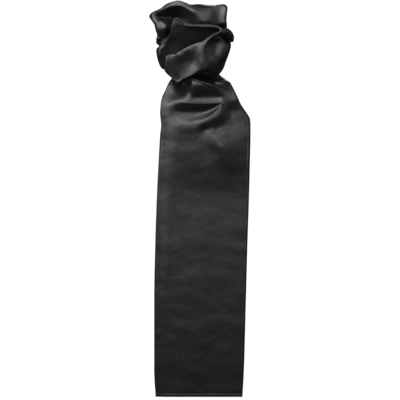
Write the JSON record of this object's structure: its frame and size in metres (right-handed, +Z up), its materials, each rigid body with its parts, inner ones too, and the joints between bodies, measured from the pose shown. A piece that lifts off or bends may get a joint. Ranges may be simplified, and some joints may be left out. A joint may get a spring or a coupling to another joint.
{
  "type": "neck scarf",
  "caption": "Black satin neck scarf tied in a loose knot at the top, with its long flat hemmed end hanging straight down.",
  "frame": {"origin": "back centre of the knot, where it lies against the throat or the pin that holds it up", "axes": "+Z up along the hanging end, -Y to the front of the scarf, +X to the right as seen from the front"},
  "size_m": [0.2042, 0.0974, 0.7921],
  "materials": {
    "satin": "black satin, soft broad sheen",
    "hem": "black satin, turned and stitched"
  },
  "bodies": {
    "root": {"hanging_panel": "satin", "turned_hem": "hem", "front_wrap": "satin", "middle_fold": "satin", "crown_loop": "satin", "side_roll": "satin", "back_wrap": "satin"}
  },
  "joints": []
}
